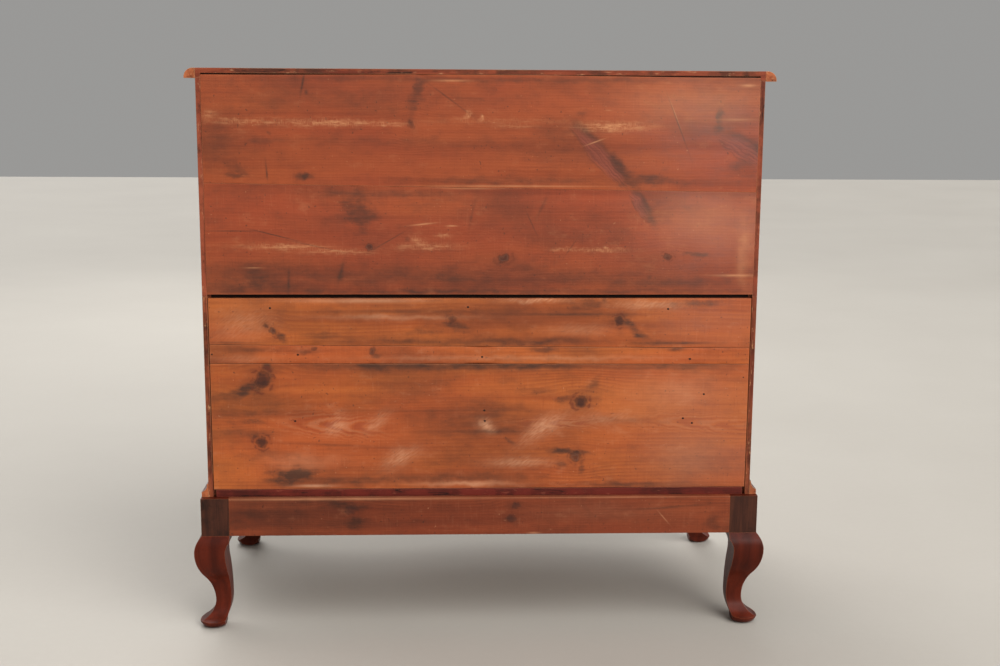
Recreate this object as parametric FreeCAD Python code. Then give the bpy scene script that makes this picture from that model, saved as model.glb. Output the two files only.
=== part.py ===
import FreeCAD, Part
import math
import os

Vec = FreeCAD.Vector

# A serpentine chest of drawers: an upper case on a lower case on a cabriole-leg stand.
# Millimetres, +Z up, the front faces -Y, left is -X. The middle of the footprint is at X = 0, Y = 0.

# Stand
leg_height = 200.0            # floor to the underside of the square post
stand_rail_height = 80.0      # posts and rails
stand_rail_thickness = 30.0
post_size = 57.0              # square post above each leg
stand_ledge = 15.0            # stand showing outside the case at the front and sides
stand_back_ledge = 12.0       # stand showing behind the case
tenon_length = 25.0
tenon_thickness = 10.0
tenon_shoulder = 8.0          # rail left above and below the tenon

# Cabriole leg, drawn once and cut on two faces. Reaches are outward from the face of the post.
knee_reach = 14.0
knee_height = 167.0
knee_radius = 96.0            # below the knee's widest point
ankle_height = 54.0
ankle_setback = 22.0
ankle_width = 32.5
ankle_inner_height = 62.0
calf_hollow = 6.0             # how far the hollow behind the knee lies in front of the back of the ankle
calf_height = 165.0
calf_radius = 150.0           # below the hollow behind the knee
calf_start = 12.0             # post left straight on the inside below its lower edge
toe_reach = 10.0
toe_height = 14.5
heel_setback = 43.0
foot_centre_setback = 19.5
foot_radius = 30.5            # rim of the round pad
foot_belly_radius = 26.0      # where the underside turns up
foot_belly_height = 4.5
foot_rim = 3.0                # upright edge round the pad
foot_contact_radius = 17.0    # flat on the floor

# Cases
case_width = 1124.0
case_depth = 533.0            # at the ends of the front
side_thickness = 24.0
back_thickness = 12.0
back_rebate = 14.0            # how far the back boards lap over the sides
housing_depth = 8.0           # boards and rails let into the sides
lower_bottom_thickness = 16.0
lower_bottom_rail = 14.0      # rail on the bottom board, under the lowest drawer
lower_top_thickness = 14.0
upper_bottom_thickness = 14.0
top_thickness = 18.0
top_lip = 10.0                # top board left over the back boards
frieze_height = 46.0
frieze_thickness = 24.0
drawer_opening = 178.0
divider_thickness = 18.0
divider_depth = 80.0
runner_width = 30.0
case_joint_gap_above = 4.0    # back boards kept clear of the joint between the cases
case_joint_gap_below = 2.5
board_gap = 0.6               # between neighbouring back boards
lower_back_heights = (265.0, 36.0)    # from the bottom; the last board takes up the rest
upper_back_heights = (218.0,)

# Serpentine plan of the front, from tangent arcs
crest_radius = 650.0
crest_half_angle = 17.0       # degrees
hollow_radius = 515.0
shoulder_radius = 770.0

# Mouldings
top_moulding_width = 22.0
top_moulding_height = 20.0
top_moulding_nose = 4.0
top_moulding_quirk = 2.0
stand_moulding_width = 14.0
stand_moulding_height = 28.5
stand_moulding_fillet = 11.0
stand_moulding_top = 3.0

# Drawers
drawer_side_gap = 1.5
drawer_gap_above = 2.0
drawer_gap_below = 0.5
drawer_gap_behind = 1.0
drawer_front_thickness = 22.0
drawer_front_lap = 8.0        # wood left in front of the dovetails
drawer_side_thickness = 12.0
drawer_side_drop = 4.0        # sides and back lower than the front
drawer_back_thickness = 12.0
drawer_bottom_thickness = 8.0
drawer_bottom_rise = 10.0
groove_depth = 6.0
tail_count = 4
tail_share = 0.66             # of the pitch, at the wide end
tail_slope = 1.0 / 6.0
tail_root_depth = 1.0         # tails run this far behind the front board

# Handles and locks
brass_sides = 10              # flats round each turned brass piece
handle_rise = 10.0            # pivots above the middle of the drawer front
handle_spacing = 92.0         # between the two posts
handle_standoff = 16.0        # pivot line in front of the hollow of the front
rose_radius = 12.0
rose_thickness = 3.0
stud_radius = 6.0
pin_radius = 2.0
pin_clearance = 0.08
pin_depth = 6.0
bore_depth = 7.0
bail_thickness = 5.0
bail_side_gap = 0.8           # between the bail and the studs
bail_drop = 36.0              # pivot line to the middle of the grip
bail_corner = 14.0
escutcheon_width = 30.0
escutcheon_height = 44.0
escutcheon_thickness = 1.6
keyhole_width = 3.5
keyhole_height = 16.0
lock_width = 64.0
lock_height = 40.0
lock_thickness = 11.0
lock_recess = 8.0
lock_below_edge = 10.0

# Heights
stand_top = leg_height + stand_rail_height
lower_height = (lower_bottom_thickness + lower_bottom_rail + 2 * drawer_opening + divider_thickness
                + lower_top_thickness)
case_joint = stand_top + lower_height
upper_height = (upper_bottom_thickness + 2 * drawer_opening + divider_thickness + frieze_height
                + top_thickness)
overall_height = case_joint + upper_height
top_underside = overall_height - top_thickness
opening_bottoms = {
    4: stand_top + lower_bottom_thickness + lower_bottom_rail,
    3: stand_top + lower_bottom_thickness + lower_bottom_rail + drawer_opening + divider_thickness,
    2: case_joint + upper_bottom_thickness,
    1: case_joint + upper_bottom_thickness + drawer_opening + divider_thickness,
}

# Widths and the serpentine plan
case_half = case_width / 2
opening_half = case_half - side_thickness
stand_half = case_half + stand_ledge
crest_turn = math.radians(crest_half_angle)
hollow_x = (crest_radius + hollow_radius) * math.sin(crest_turn)
shoulder_turn = math.asin((case_half - hollow_x) / (hollow_radius + shoulder_radius))
hollow_depth = (crest_radius + hollow_radius) * (1 - math.cos(crest_turn))
shoulder_rise = (hollow_radius + shoulder_radius) * (1 - math.cos(shoulder_turn))
bow = hollow_depth - shoulder_rise

# Depths, centred between the front of the top moulding and the rear knees
overall_depth = top_moulding_width + bow + case_depth + stand_back_ledge + knee_reach
crest_y = -overall_depth / 2 + top_moulding_width
corner_y = crest_y + bow
hollow_y = crest_y + hollow_depth
case_back = corner_y + case_depth
back_inside = case_back - back_thickness
stand_front = corner_y - stand_ledge
stand_back = case_back + stand_back_ledge

# Drawer sizes that several pieces share
drawer_half = opening_half - drawer_side_gap
drawer_inner_half = drawer_half - drawer_side_thickness
drawer_rear = back_inside - drawer_gap_behind
pivot_y = hollow_y - handle_standoff
pivot_height = (drawer_opening - drawer_gap_above + drawer_gap_below) / 2 + handle_rise

REACH = 2000.0


def box(x0, x1, y0, y1, z0, z1):
    return Part.makeBox(x1 - x0, y1 - y0, z1 - z0, Vec(x0, y0, z0))


def line(a, b):
    return Part.makeLine(a, b)


def arc(a, middle, b):
    return Part.Arc(a, middle, b).toShape()


def upright(points, z0, z1):
    """A prism on a plan polygon."""
    corners = [Vec(x, y, z0) for x, y in points]
    face = Part.Face(Part.makePolygon(corners + corners[:1]))
    return face.extrude(Vec(0, 0, z1 - z0))


def mirrored(shape):
    return shape.mirror(Vec(0, 0, 0), Vec(1, 0, 0))


def joined(shapes):
    return shapes[0].multiFuse(shapes[1:]).removeSplitter()


# The serpentine front. Each arc is (centre x, centre y, radius, bulge, first angle, last angle), from left
# to right. Bulge is 1 for a convex arc and -1 for a hollow one. Offsets are outward from the case front.
def front_arcs():
    hollow_cy = hollow_y - hollow_radius
    shoulder_cy = corner_y + shoulder_radius
    return [
        (-case_half, shoulder_cy, shoulder_radius, 1, 0.0, shoulder_turn),
        (-hollow_x, hollow_cy, hollow_radius, -1, -shoulder_turn, crest_turn),
        (0.0, crest_y + crest_radius, crest_radius, 1, -crest_turn, crest_turn),
        (hollow_x, hollow_cy, hollow_radius, -1, -crest_turn, shoulder_turn),
        (case_half, shoulder_cy, shoulder_radius, 1, -shoulder_turn, 0.0),
    ]


def on_arc(piece, angle, offset, z):
    cx, cy, radius, bulge = piece[:4]
    r = radius + bulge * offset
    return Vec(cx + r * math.sin(angle), cy - bulge * r * math.cos(angle), z)


def front_edges(offset, z):
    edges = []
    for piece in front_arcs():
        first, last = piece[4:]
        spots = [on_arc(piece, a, offset, z) for a in (first, (first + last) / 2, last)]
        edges.append(arc(*spots))
    return edges


def front_y(x, offset):
    """Y of the offset front at a given X."""
    for cx, cy, radius, bulge, first, last in front_arcs():
        r = radius + bulge * offset
        if cx + r * math.sin(first) <= x <= cx + r * math.sin(last):
            return cy - bulge * math.sqrt(r * r - (x - cx) ** 2)
    return corner_y - offset


def behind_front(offset, z0, z1):
    """Everything behind the offset front between two heights."""
    edges = front_edges(offset, z0)
    left = Vec(-case_half, corner_y - offset, z0)
    right = Vec(case_half, corner_y - offset, z0)
    far_left = Vec(-REACH, corner_y - offset, z0)
    far_right = Vec(REACH, corner_y - offset, z0)
    rear_right = Vec(REACH, REACH, z0)
    rear_left = Vec(-REACH, REACH, z0)
    rest = [line(right, far_right), line(far_right, rear_right), line(rear_right, rear_left),
            line(rear_left, far_left), line(far_left, left)]
    return Part.Face(Part.Wire(edges + rest)).extrude(Vec(0, 0, z1 - z0))


def fronted_board(half, rear, z0, z1):
    """A flat board with a serpentine front edge."""
    return behind_front(0, z0, z1).common(box(-half, half, -REACH, rear, z0, z1))


def serpentine_band(half, outside, thickness, z0, z1):
    """A curved board of even thickness."""
    band = behind_front(outside, z0, z1).cut(behind_front(outside - thickness, z0, z1))
    return band.common(box(-half, half, -REACH, REACH, z0, z1))


# Mouldings. A profile takes a function that places (outward, height) and gives a face.
def ovolo(place):
    base = overall_height - top_moulding_height
    nose = base + top_moulding_nose
    span = top_moulding_width - top_moulding_quirk
    rise = overall_height - nose
    bend = math.sqrt(0.5)
    a, b = place(0, base), place(top_moulding_width, base)
    c, d = place(top_moulding_width, nose), place(top_moulding_quirk, overall_height)
    middle = place(top_moulding_quirk + bend * span, nose + bend * rise)
    e = place(0, overall_height)
    return Part.Face(Part.Wire([line(a, b), line(b, c), arc(c, middle, d), line(d, e), line(e, a)]))


def cavetto(place):
    fillet = stand_top + stand_moulding_fillet
    crown = stand_top + stand_moulding_height
    span = stand_moulding_width - stand_moulding_top
    bend = 1 - math.sqrt(0.5)
    a, b = place(0, stand_top), place(stand_moulding_width, stand_top)
    c, d = place(stand_moulding_width, fillet), place(stand_moulding_top, crown)
    middle = place(stand_moulding_top + bend * span, fillet + bend * (crown - fillet))
    e = place(0, crown)
    return Part.Face(Part.Wire([line(a, b), line(b, c), arc(c, middle, d), line(d, e), line(e, a)]))


def front_moulding(profile, width, z0, z1):
    runs = []
    for piece in front_arcs():
        first, last = piece[4:]
        face = profile(lambda out, z: on_arc(piece, first, out, z))
        turn = piece[3] * math.degrees(last - first)
        runs.append(face.revolve(Vec(piece[0], piece[1], 0), Vec(0, 0, 1), turn))
    end = profile(lambda out, z: Vec(case_half, corner_y - out, z)).extrude(Vec(2 * width, 0, 0))
    runs.append(end)
    runs.append(mirrored(end))
    mitre = [(-case_half, corner_y), (case_half, corner_y),
             (case_half + REACH, corner_y - REACH), (-case_half - REACH, corner_y - REACH)]
    swell = [(-case_half, corner_y), (case_half, corner_y), (case_half, REACH), (-case_half, REACH)]
    keep = joined([upright(mitre, z0, z1), upright(swell, z0, z1)])
    return joined(runs).common(keep)


def side_moulding(profile, width, z0, z1):
    """The run along the right side."""
    face = profile(lambda out, z: Vec(case_half + out, case_back, z))
    run = face.extrude(Vec(0, corner_y - 2 * width - case_back, 0))
    mitre = [(case_half, corner_y), (case_half + REACH, corner_y - REACH),
             (case_half + REACH, case_back), (case_half, case_back)]
    return run.common(upright(mitre, z0, z1))


# Stand
def upright_arc(extreme, other, bulge):
    """Centre and radius of the arc that is upright at one point and passes through another."""
    across = bulge * (extreme[0] - other[0])
    rise = other[1] - extreme[1]
    radius = (across * across + rise * rise) / (2 * across)
    return extreme[0] - bulge * radius, extreme[1], radius


def blending_radius(centre, radius, extreme, bulge):
    """Radius of the arc that is upright at a point and blends into a given circle of opposite bend."""
    across = bulge * (extreme[0] - centre[0])
    rise = extreme[1] - centre[1]
    return (across * across + rise * rise - radius * radius) / (2 * (radius - across))


def arc_between(flat, centre, radius, a, b):
    """The shorter arc of a circle from a to b."""
    start = math.atan2(a[1] - centre[1], a[0] - centre[0])
    turn = math.atan2(b[1] - centre[1], b[0] - centre[0]) - start
    turn = (turn + math.pi) % (2 * math.pi) - math.pi
    mid = start + turn / 2
    middle = (centre[0] + radius * math.cos(mid), centre[1] + radius * math.sin(mid))
    return arc(flat(*a), flat(*middle), flat(*b))


def s_curve(flat, start, wide, radius, narrow, end, bulge):
    """Four tangent arcs: from start to the upright point wide, on round radius, to the upright point
    narrow, and on to end. bulge is 1 where wide stands out to the right."""
    first = upright_arc(wide, start, bulge)
    second = (wide[0] - bulge * radius, wide[1])
    hollow = blending_radius(second, radius, narrow, bulge)
    third = (narrow[0] + bulge * hollow, narrow[1])
    share = radius / (radius + hollow)
    blend = tuple(c + share * (d - c) for c, d in zip(second, third))
    last = upright_arc(narrow, end, -bulge)
    return [
        arc_between(flat, first[:2], first[2], start, wide),
        arc_between(flat, second, radius, wide, blend),
        arc_between(flat, third, hollow, blend, narrow),
        arc_between(flat, last[:2], last[2], narrow, end),
    ]


def leg_outline(flat):
    """The leg's side view. flat places (outward from the post face, height)."""
    heel = (-heel_setback, toe_height)
    toe = (toe_reach, toe_height)
    ankle_in = (-ankle_setback - ankle_width, ankle_inner_height)
    calf_top = (-post_size, leg_height - calf_start)
    calf = (ankle_in[0] + calf_hollow, calf_height)
    outer = s_curve(flat, (0, leg_height), (knee_reach, knee_height), knee_radius,
                    (-ankle_setback, ankle_height), toe, 1)
    inner = s_curve(flat, calf_top, calf, calf_radius, ankle_in, heel, 1)
    corners = [toe, (toe_reach, 0), (heel[0], 0), heel]
    post = [calf_top, (-post_size, stand_top), (0, stand_top), (0, leg_height)]
    straight = [line(flat(*a), flat(*b)) for run in (corners, post) for a, b in zip(run, run[1:])]
    return Part.Face(Part.Wire(Part.__sortEdges__(outer + inner + straight)))


def pad_limit(x, y):
    """The turned shape that rounds the foot and stays clear of the leg above it."""
    wide = post_size + knee_reach
    points = [(0, 0), (foot_contact_radius, 0), (foot_belly_radius, foot_belly_height),
              (foot_radius, toe_height - foot_rim), (foot_radius, toe_height), (wide, ankle_height),
              (wide, stand_top), (0, stand_top)]
    spots = [Vec(x + r, y, z) for r, z in points]
    return Part.Face(Part.makePolygon(spots + spots[:1])).revolve(Vec(x, y, 0), Vec(0, 0, 1), 360)


def leg(y_face, facing):
    """A right-hand leg. facing is -1 at the front and 1 at the back."""
    across = leg_outline(lambda out, z: Vec(stand_half + out, y_face - facing * 2 * post_size, z))
    along = leg_outline(lambda out, z: Vec(stand_half - 2 * post_size, y_face + facing * out, z))
    cut_one = across.extrude(Vec(0, facing * 4 * post_size, 0))
    cut_two = along.extrude(Vec(4 * post_size, 0, 0))
    foot = pad_limit(stand_half - foot_centre_setback, y_face - facing * foot_centre_setback)
    return cut_one.common(cut_two).common(foot)


def stand():
    low, high = leg_height, stand_top
    inner = stand_half - post_size
    half_tenon = tenon_thickness / 2
    tenon_low, tenon_high = low + tenon_shoulder, high - tenon_shoulder
    back_mid = stand_back - stand_rail_thickness / 2
    front_mid = front_y(inner, stand_ledge) + stand_rail_thickness / 2
    side_mid = stand_half - stand_rail_thickness / 2
    reach = inner + tenon_length

    back_rail = joined([
        box(-inner, inner, stand_back - stand_rail_thickness, stand_back, low, high),
        box(-reach, reach, back_mid - half_tenon, back_mid + half_tenon, tenon_low, tenon_high),
    ])
    front_rail = serpentine_band(inner, stand_ledge, stand_rail_thickness, low, high)
    for sign in (-1, 1):
        near_end, far_end = sorted((sign * (inner - tenon_length / 4), sign * reach))
        tenon = box(near_end, far_end, front_mid - half_tenon, front_mid + half_tenon, tenon_low, tenon_high)
        front_rail = front_rail.fuse(tenon)
    front_rail = front_rail.removeSplitter()
    near, far = stand_front + post_size, stand_back - post_size
    side_rail = joined([
        box(stand_half - stand_rail_thickness, stand_half, near, far, low, high),
        box(side_mid - half_tenon, side_mid + half_tenon, near - tenon_length, far + tenon_length,
            tenon_low, tenon_high),
    ])
    front_leg = leg(stand_front, -1).cut(side_rail).cut(front_rail)
    rear_leg = leg(stand_back, 1).cut(side_rail).cut(back_rail)
    bottom, crown = stand_top, stand_top + stand_moulding_height
    side_run = side_moulding(cavetto, stand_moulding_width, bottom, crown)
    return {
        "leg_front_left": mirrored(front_leg),
        "leg_front_right": front_leg,
        "leg_rear_left": mirrored(rear_leg),
        "leg_rear_right": rear_leg,
        "stand_front_rail": front_rail,
        "stand_back_rail": back_rail,
        "stand_left_rail": mirrored(side_rail),
        "stand_right_rail": side_rail,
        "stand_moulding_front": front_moulding(cavetto, stand_moulding_width, bottom, crown),
        "stand_moulding_left": mirrored(side_run),
        "stand_moulding_right": side_run,
    }


# Cases
def case_side(z0, z1, housed):
    """A right-hand side, rebated for the back boards and housed for the boards and rails given."""
    panel = box(opening_half, case_half, -REACH, case_back, z0, z1).common(behind_front(0, z0, z1))
    rebate_edge = opening_half + back_rebate
    panel = panel.cut(box(opening_half - 1, rebate_edge, back_inside, case_back + 1, z0 - 1, z1 + 1))
    for piece in housed:
        panel = panel.cut(piece)
    return panel


def back_boards(z0, z1, heights, names):
    half = opening_half + back_rebate
    boards = {}
    low = z0
    for name, height in zip(names, list(heights) + [None]):
        high = z1 if height is None else low + height
        boards[name] = box(-half, half, back_inside, case_back, low, high)
        low = high + board_gap
    return boards


def runner_pair(z0, z1):
    run = box(opening_half - runner_width, opening_half, corner_y + divider_depth, back_inside, z0, z1)
    return [mirrored(run), run]


def cases():
    housed = opening_half + housing_depth
    divider_rear = corner_y + divider_depth
    lower_bottom_top = stand_top + lower_bottom_thickness
    lower_runner_top = opening_bottoms[4]

    lower_bottom = fronted_board(housed, case_back, stand_top, lower_bottom_top)
    lower_rail = fronted_board(opening_half, divider_rear, lower_bottom_top, lower_runner_top)
    lower_divider_under = opening_bottoms[3] - divider_thickness
    lower_divider = fronted_board(housed, divider_rear, lower_divider_under, opening_bottoms[3])
    lower_top = fronted_board(housed, back_inside, case_joint - lower_top_thickness, case_joint)
    lower_side = case_side(stand_top, case_joint, [lower_bottom, lower_divider, lower_top])

    upper_bottom = fronted_board(housed, back_inside, case_joint, opening_bottoms[2])
    upper_divider_under = opening_bottoms[1] - divider_thickness
    upper_divider = fronted_board(housed, divider_rear, upper_divider_under, opening_bottoms[1])
    frieze = serpentine_band(housed, 0, frieze_thickness, top_underside - frieze_height, top_underside)
    upper_side = case_side(case_joint, top_underside, [upper_bottom, upper_divider, frieze])
    top = fronted_board(case_half, case_back, top_underside, overall_height)
    lip_half = opening_half + back_rebate
    lip_under = overall_height - top_lip
    top = top.cut(box(-lip_half, lip_half, back_inside, case_back + 1, top_underside - 1, lip_under))

    shapes = {
        "lower_side_left": mirrored(lower_side),
        "lower_side_right": lower_side,
        "lower_bottom_board": lower_bottom,
        "lower_bottom_rail": lower_rail,
        "lower_divider_rail": lower_divider,
        "lower_top_board": lower_top,
        "upper_side_left": mirrored(upper_side),
        "upper_side_right": upper_side,
        "upper_bottom_board": upper_bottom,
        "upper_divider_rail": upper_divider,
        "upper_frieze_rail": frieze,
        "top_board": top,
    }
    shapes.update(back_boards(
        lower_bottom_top + board_gap, case_joint - case_joint_gap_below, lower_back_heights,
        ["lower_back_lower_board", "lower_back_middle_board", "lower_back_upper_board"]))
    shapes.update(back_boards(
        case_joint + case_joint_gap_above, lip_under - board_gap, upper_back_heights,
        ["upper_back_lower_board", "upper_back_upper_board"]))
    runners = []
    runners += runner_pair(lower_bottom_top, lower_runner_top)
    runners += runner_pair(lower_divider_under, opening_bottoms[3])
    runners += runner_pair(upper_divider_under, opening_bottoms[1])
    shapes["drawer_runners"] = Part.makeCompound(runners)
    base = overall_height - top_moulding_height
    side_run = side_moulding(ovolo, top_moulding_width, base, overall_height)
    shapes["top_moulding_front"] = front_moulding(ovolo, top_moulding_width, base, overall_height)
    shapes["top_moulding_left"] = mirrored(side_run)
    shapes["top_moulding_right"] = side_run
    return shapes


# Drawers
def dovetail(x0, x1, root, tip, middle, wide):
    """One tail, widening from its root to its tip along Y."""
    half_tip = wide / 2
    half_root = half_tip - abs(tip - root) * tail_slope
    corners = [Vec(x0, root, middle - half_root), Vec(x0, tip, middle - half_tip),
               Vec(x0, tip, middle + half_tip), Vec(x0, root, middle + half_root)]
    return Part.Face(Part.makePolygon(corners + corners[:1])).extrude(Vec(x1 - x0, 0, 0))


def dovetails(root, tip, z0, z1):
    """The tails of the right-hand drawer side at one end."""
    pitch = (z1 - z0) / tail_count
    middles = [z0 + pitch * (i + 0.5) for i in range(tail_count)]
    return [dovetail(drawer_inner_half, drawer_half, root, tip, m, tail_share * pitch) for m in middles]


def ring(place, radius, stretch=1.0):
    """A face on a regular polygon. place takes its two axes, and stretch lengthens the second."""
    turns = [2 * math.pi * (i + 0.5) / brass_sides for i in range(brass_sides)]
    spots = [place(radius * math.cos(t), stretch * radius * math.sin(t)) for t in turns]
    return Part.Face(Part.makePolygon(spots + spots[:1]))


def bored(radius):
    """The corner radius of a hole whose flats clear a round of the given radius."""
    return radius / math.cos(math.pi / brass_sides)


def escutcheon(z):
    """An oval plate bent to the crest of the front, with a slot for the key."""
    near = crest_y - escutcheon_width
    through = Vec(0, 2 * escutcheon_width, 0)
    stretch = escutcheon_height / escutcheon_width
    blank = ring(lambda a, b: Vec(a, near, z + b), escutcheon_width / 2, stretch).extrude(through)
    z0, z1 = z - escutcheon_height / 2, z + escutcheon_height / 2
    skin = serpentine_band(escutcheon_width, escutcheon_thickness, escutcheon_thickness, z0, z1)
    slot_half, slot_rise = keyhole_width / 2, keyhole_height / 2
    slot = box(-slot_half, slot_half, near, near + through.y, z - slot_rise, z + slot_rise)
    return blank.common(skin).cut(slot)


def turned(x, z, radius, near, far):
    """A round along Y between two distances outward from the hollow of the front."""
    face = ring(lambda a, b: Vec(x + a, hollow_y - far, z + b), radius)
    return face.extrude(Vec(0, far - near, 0))


def handle_post(x, z, bore_side, wood):
    """A rose seated on the front, with the stud that holds the bail's pin on its bore_side."""
    face = hollow_y - front_y(x, 0)
    rose = turned(x, z, rose_radius, face - rose_thickness, face + rose_thickness).cut(wood)
    stud = turned(x, z, stud_radius, face + rose_thickness / 2, handle_standoff + stud_radius)
    mouth = x + bore_side * stud_radius
    hole = ring(lambda a, b: Vec(mouth, pivot_y + a, z + b), bored(pin_radius + pin_clearance))
    bore = hole.extrude(Vec(-bore_side * bore_depth, 0, 0))
    return joined([rose, stud]).cut(bore)


def bail(x, z):
    """A bail hanging from its two pins, centred on the pivot line."""
    half = bail_thickness / 2
    arm = handle_spacing / 2 - stud_radius - bail_side_gap - half
    y = pivot_y - half
    low = (1 - math.sqrt(0.5)) * bail_corner

    def outline(inset):
        """Half of an outline inset from the bail's centre line, from the pivot down to the middle."""
        reach, drop = arm - inset, bail_drop - inset
        return [(reach, -half), (reach, drop - bail_corner), (reach - low, drop - low),
                (reach - bail_corner, drop), (0, drop)]

    rim = outline(-half) + outline(half)[::-1]
    spots = [Vec(x + across, y, z - down) for across, down in rim]
    right = Part.Face(Part.makePolygon(spots + spots[:1])).extrude(Vec(0, bail_thickness, 0))
    length = half + bail_side_gap + pin_depth
    pin = ring(lambda a, b: Vec(x + arm, pivot_y + a, z + b), pin_radius).extrude(Vec(length, 0, 0))
    right = right.fuse(pin)
    left = right.mirror(Vec(x, 0, 0), Vec(1, 0, 0))
    return right.fuse(left).removeSplitter()


def drawer(number):
    z0 = opening_bottoms[number] + drawer_gap_below
    z1 = opening_bottoms[number] + drawer_opening - drawer_gap_above
    side_top = z1 - drawer_side_drop
    bottom_low = z0 + drawer_bottom_rise
    bottom_high = bottom_low + drawer_bottom_thickness

    bottom = behind_front(groove_depth - drawer_front_thickness, bottom_low, bottom_high)
    bottom_half = drawer_inner_half + groove_depth
    bottom = bottom.common(box(-bottom_half, bottom_half, -REACH, drawer_rear, bottom_low, bottom_high))

    tail_tip = front_y(drawer_half, 0) + drawer_front_lap
    tail_root = front_y(drawer_inner_half, -drawer_front_thickness) + tail_root_depth
    front_tails = dovetails(tail_root, tail_tip, z0, side_top)
    back_face = drawer_rear - drawer_back_thickness
    rear_tails = dovetails(back_face, drawer_rear, bottom_high, side_top)
    front = serpentine_band(drawer_half, 0, drawer_front_thickness, z0, z1)
    back = box(-drawer_half, drawer_half, back_face, drawer_rear, bottom_high, side_top)
    for tail in front_tails:
        front = front.cut(tail).cut(mirrored(tail))
    for tail in rear_tails:
        back = back.cut(tail).cut(mirrored(tail))
    side = box(drawer_inner_half, drawer_half, tail_tip, drawer_rear, z0, side_top)
    side = side.cut(front).cut(back).cut(bottom)
    front = front.cut(bottom)

    lock_face = crest_y + drawer_front_thickness - lock_recess
    lock_top = z1 - lock_below_edge
    lock_bottom = lock_top - lock_height
    lock_half = lock_width / 2
    lock = box(-lock_half, lock_half, lock_face, lock_face + lock_thickness, lock_bottom, lock_top)
    wood = front
    front = front.cut(lock)
    pivot_z = opening_bottoms[number] + pivot_height
    posts = []
    for centre in (-hollow_x, hollow_x):
        for side_of in (-1, 1):
            posts.append(handle_post(centre + side_of * handle_spacing / 2, pivot_z, -side_of, wood))
    plate = escutcheon((lock_top + lock_bottom) / 2)

    name = "drawer_%d_" % number
    return {
        name + "front": front,
        name + "sides": Part.makeCompound([mirrored(side), side]),
        name + "back": back,
        name + "bottom": bottom,
        name + "brass_fittings": Part.makeCompound(posts + [plate, lock]),
        name + "bail_left": bail(-hollow_x, pivot_z),
        name + "bail_right": bail(hollow_x, pivot_z),
    }


def build():
    shapes = stand()
    shapes.update(cases())
    for number in sorted(opening_bottoms):
        shapes.update(drawer(number))
    return shapes


if __name__ == "__main__":
    os.makedirs("parts", exist_ok=True)
    for node, shape in build().items():
        shape.exportStep("parts/%s.step" % node)
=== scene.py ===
import math
import random

import bmesh
import bpy
from mathutils import Matrix, Vector


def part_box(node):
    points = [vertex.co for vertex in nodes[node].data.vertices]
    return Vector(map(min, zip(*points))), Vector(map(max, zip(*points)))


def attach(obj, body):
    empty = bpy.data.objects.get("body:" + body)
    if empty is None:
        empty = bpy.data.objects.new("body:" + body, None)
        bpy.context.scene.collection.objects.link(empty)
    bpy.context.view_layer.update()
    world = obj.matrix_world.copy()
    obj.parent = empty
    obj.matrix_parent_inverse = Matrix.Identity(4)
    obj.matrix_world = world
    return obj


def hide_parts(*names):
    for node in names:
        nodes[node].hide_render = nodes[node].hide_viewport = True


# A two-part serpentine chest of drawers on a cabriole stand, seen from behind.
# Metres, +Z up, the front faces -Y, and +X is at the left of the picture.

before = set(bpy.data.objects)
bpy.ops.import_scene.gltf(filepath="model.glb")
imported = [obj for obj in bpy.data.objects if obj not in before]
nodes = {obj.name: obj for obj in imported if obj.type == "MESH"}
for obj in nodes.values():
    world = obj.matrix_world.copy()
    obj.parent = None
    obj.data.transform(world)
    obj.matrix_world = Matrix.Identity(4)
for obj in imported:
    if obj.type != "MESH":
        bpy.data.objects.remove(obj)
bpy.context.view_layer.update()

MM = 0.001
DRAWERS = ("drawer_1", "drawer_2", "drawer_3", "drawer_4")

# Camera, at the angle of the photograph
camera_place = Vector((0.0745, 3.0155, 1.1164))
camera_yaw = math.radians(-2.340)
camera_pitch = math.radians(10.206)
camera_roll = math.radians(0.351)
camera_lens = 49.2

# Places that several pieces share, from the frame
rear_band = 3 * MM  # faces this near the back take the finish of the back
case_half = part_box("upper_side_right")[1].x
case_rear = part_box("upper_side_right")[1].y - rear_band
stand_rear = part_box("stand_back_rail")[1].y - rear_band
leg_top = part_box("stand_back_rail")[0].z

# Serpentine plan of the front
crest_radius = 0.650
crest_turn = math.radians(17)
hollow_radius = 0.515
shoulder_radius = 0.770
crest_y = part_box("drawer_1_front")[0].y
hollow_x = (crest_radius + hollow_radius) * math.sin(crest_turn)
hollow_y = crest_y + (crest_radius + hollow_radius) * (1 - math.cos(crest_turn))
shoulder_turn = math.asin((case_half - hollow_x) / (hollow_radius + shoulder_radius))
corner_y = hollow_y - (hollow_radius + shoulder_radius) * (1 - math.cos(shoulder_turn))


def front_y(x):
    """Y of the serpentine front at a given X."""
    x = abs(x)
    if x < crest_radius * math.sin(crest_turn):
        return crest_y + crest_radius - math.sqrt(crest_radius ** 2 - x * x)
    if x < hollow_x + hollow_radius * math.sin(shoulder_turn):
        return hollow_y - hollow_radius + math.sqrt(hollow_radius ** 2 - (x - hollow_x) ** 2)
    return corner_y + shoulder_radius - math.sqrt(shoulder_radius ** 2 - (case_half - x) ** 2)


# Colours and materials
def tone(red, green, blue):
    """A colour given as screen values from 0 to 255."""
    return tuple(((c / 255 + 0.055) / 1.055) ** 2.4 for c in (red, green, blue)) + (1.0,)


def tones(*colours):
    return [tone(*colour) for colour in colours]


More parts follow.
